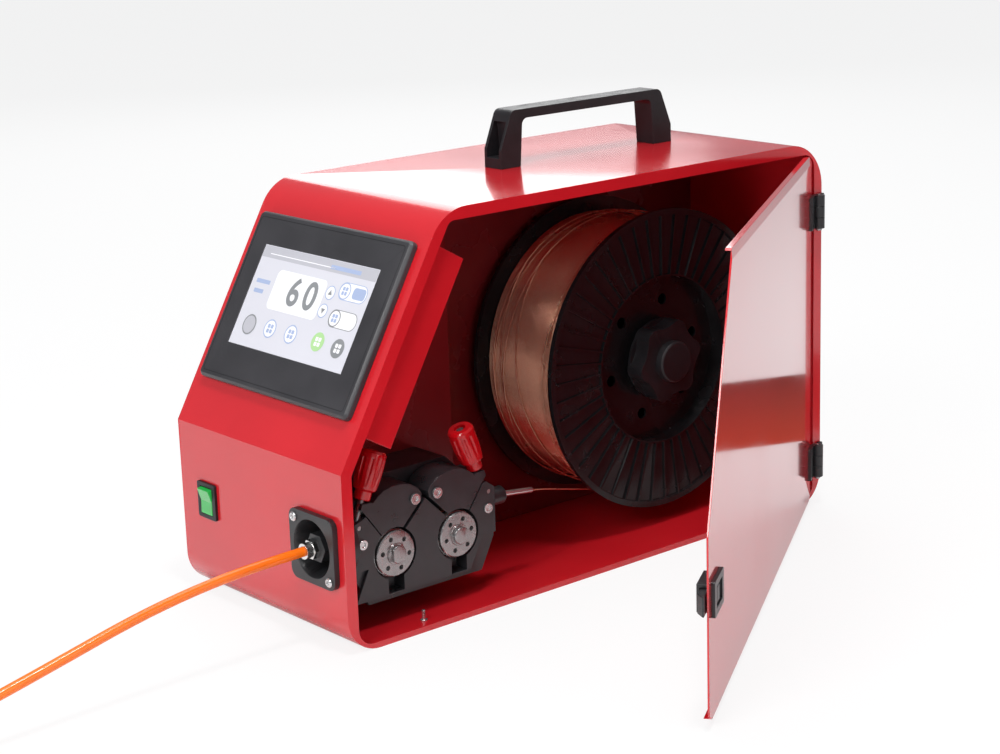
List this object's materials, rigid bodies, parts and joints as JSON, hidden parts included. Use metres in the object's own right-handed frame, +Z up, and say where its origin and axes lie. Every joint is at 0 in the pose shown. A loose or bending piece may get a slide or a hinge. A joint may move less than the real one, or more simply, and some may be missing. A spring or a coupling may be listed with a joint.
{
  "type": "wire feeder",
  "caption": "Portable wire feeder: folded case with a sloped touch screen, open side door, twin roll wire drive with pressure arms, wire spool on a hub, top handle and flexible conduit.",
  "frame": {"origin": "centre of the base's footprint, on the surface it stands on", "axes": "+Z up; the screen end faces -Y and the door side faces +X"},
  "size_m": [0.5269, 1.0165, 0.3868],
  "materials": {
    "red_paint": "gloss",
    "door_red": "gloss",
    "black_plastic": "satin",
    "feeder_black": "satin",
    "gloss_black": "gloss",
    "screen": "gloss",
    "clear_red": "gloss",
    "lit_green": "gloss",
    "orange": "gloss",
    "steel": "satin",
    "zinc": "gloss",
    "nickel": "gloss",
    "dark_steel": "satin",
    "brass": "satin",
    "copper_wire": "gloss",
    "aluminium": "satin"
  },
  "bodies": {
    "case": {"case_wrap": "red_paint", "side_panel": "red_paint", "case_screws": "zinc", "touch_bezel": "gloss_black", "touch_screen": "screen", "touch_housing": "black_plastic", "screen_cover": "red_paint", "partition": "red_paint", "rocker_frame": "black_plastic", "socket_dish": "black_plastic", "socket_screws": "zinc", "wire_connector": "brass", "connector_boss": "black_plastic", "fitting_nut": "nickel", "carry_handle": "black_plastic", "handle_screws": "zinc", "hinge_case_leaves": "black_plastic", "hinge_pins": "steel", "stop_screw": "zinc", "feeder_base": "feeder_black", "feeder_housing": "feeder_black", "rod_pins": "steel", "housing_screws": "zinc", "pivot_bolts": "zinc", "motor_gearbox": "aluminium", "drive_motor": "dark_steel", "inlet_nut": "black_plastic", "inlet_tube": "steel", "wire_guides": "brass", "welding_wire": "copper_wire", "spool_hub": "black_plastic", "conduit_tube": "orange", "conduit_coil": "orange", "conduit_fitting": "nickel", "rear_socket": "black_plastic", "power_supply": "aluminium", "motor_driver": "black_plastic"},
    "door": {"door_panel": "door_red", "hinge_door_leaves": "black_plastic", "latch_frame": "black_plastic"},
    "latch": {"latch_slider": "black_plastic"},
    "rocker": {"rocker_key": "lit_green"},
    "spool": {"spool_body": "black_plastic", "wire_winding": "copper_wire"},
    "star": {"star_knob": "black_plastic"},
    "pinion": {"motor_pinion": "steel"},
    "roll_rear": {"drive_gear_rear": "steel", "drive_roll_rear": "steel", "roll_cap_rear": "steel"},
    "roll_front": {"drive_gear_front": "steel", "drive_roll_front": "steel", "roll_cap_front": "steel"},
    "arm_rear": {"pressure_arm_rear": "feeder_black"},
    "arm_front": {"pressure_arm_front": "feeder_black"},
    "roller_rear": {"pressure_roller_rear": "steel"},
    "roller_front": {"pressure_roller_front": "steel"},
    "rod_rear": {"tension_rod_rear": "steel"},
    "rod_front": {"tension_rod_front": "steel"},
    "knob_rear": {"tension_knob_rear": "clear_red"},
    "knob_front": {"tension_knob_front": "clear_red"}
  },
  "joints": [
    {"name": "door_swing", "type": "hinge", "parent": "case", "child": "door", "pos_m": [0.121, 0.262, 0.16], "axis": [0, 0, 1], "range_deg": [-34, 86]},
    {"name": "latch_slide", "type": "slide", "parent": "door", "child": "latch", "axis": [-0.5592, 0.829, 0], "range_m": [0, 0.007], "stiffness_N_per_m": 200},
    {"name": "rocker_tip", "type": "hinge", "parent": "case", "child": "rocker", "pos_m": [-0.075, -0.2725, 0.085], "axis": [1, 0, 0], "range_deg": [-16, 0]},
    {"name": "spool_spin", "type": "hinge", "parent": "case", "child": "spool", "pos_m": [0.0125, 0.1227, 0.1557], "axis": [1, 0, 0], "continuous": true},
    {"name": "star_turn", "type": "hinge", "parent": "case", "child": "star", "pos_m": [0.072, 0.1227, 0.1557], "axis": [1, 0, 0], "continuous": true},
    {"name": "rear_roll_spin", "type": "hinge", "parent": "case", "child": "roll_rear", "pos_m": [0.078, -0.138, 0.061], "axis": [1, 0, 0], "continuous": true},
    {"name": "front_roll_spin", "type": "hinge", "parent": "case", "child": "roll_front", "pos_m": [0.078, -0.203, 0.061], "axis": [1, 0, 0], "continuous": true},
    {"name": "pinion_spin", "type": "hinge", "parent": "case", "child": "pinion", "pos_m": [0.05, -0.1705, 0.061], "axis": [1, 0, 0], "continuous": true},
    {"name": "rear_rod_swing", "type": "hinge", "parent": "case", "child": "rod_rear", "pos_m": [0.08, -0.104, 0.09], "axis": [-1, 0, 0], "range_deg": [0, 90]},
    {"name": "front_rod_swing", "type": "hinge", "parent": "case", "child": "rod_front", "pos_m": [0.08, -0.237, 0.09], "axis": [1, 0, 0], "range_deg": [0, 40]},
    {"name": "rear_arm_lift", "type": "hinge", "parent": "case", "child": "arm_rear", "pos_m": [0.073, -0.1592, 0.102], "axis": [1, 0, 0], "range_deg": [0, 13.5]},
    {"name": "front_arm_lift", "type": "hinge", "parent": "case", "child": "arm_front", "pos_m": [0.073, -0.1818, 0.102], "axis": [-1, 0, 0], "range_deg": [0, 6]},
    {"name": "rear_roller_spin", "type": "hinge", "parent": "arm_rear", "child": "roller_rear", "pos_m": [0.078, -0.138, 0.0965], "axis": [1, 0, 0], "continuous": true},
    {"name": "front_roller_spin", "type": "hinge", "parent": "arm_front", "child": "roller_front", "pos_m": [0.078, -0.203, 0.0965], "axis": [1, 0, 0], "continuous": true},
    {"name": "rear_knob_turn", "type": "hinge", "parent": "rod_rear", "child": "knob_rear", "pos_m": [0.08, -0.104, 0.09], "axis": [0, -0.3697, 0.9291], "continuous": true},
    {"name": "front_knob_turn", "type": "hinge", "parent": "rod_front", "child": "knob_front", "pos_m": [0.08, -0.237, 0.09], "axis": [0, 0.3697, 0.9291], "continuous": true}
  ],
  "couplings": [
    {"joint": "front_roll_spin", "follows": "rear_roll_spin", "ratio": 1},
    {"joint": "pinion_spin", "follows": "rear_roll_spin", "ratio": -2.25},
    {"joint": "rear_arm_lift", "follows": "rear_rod_swing", "ratio": 0.15},
    {"joint": "front_arm_lift", "follows": "front_rod_swing", "ratio": 0.15}
  ]
}
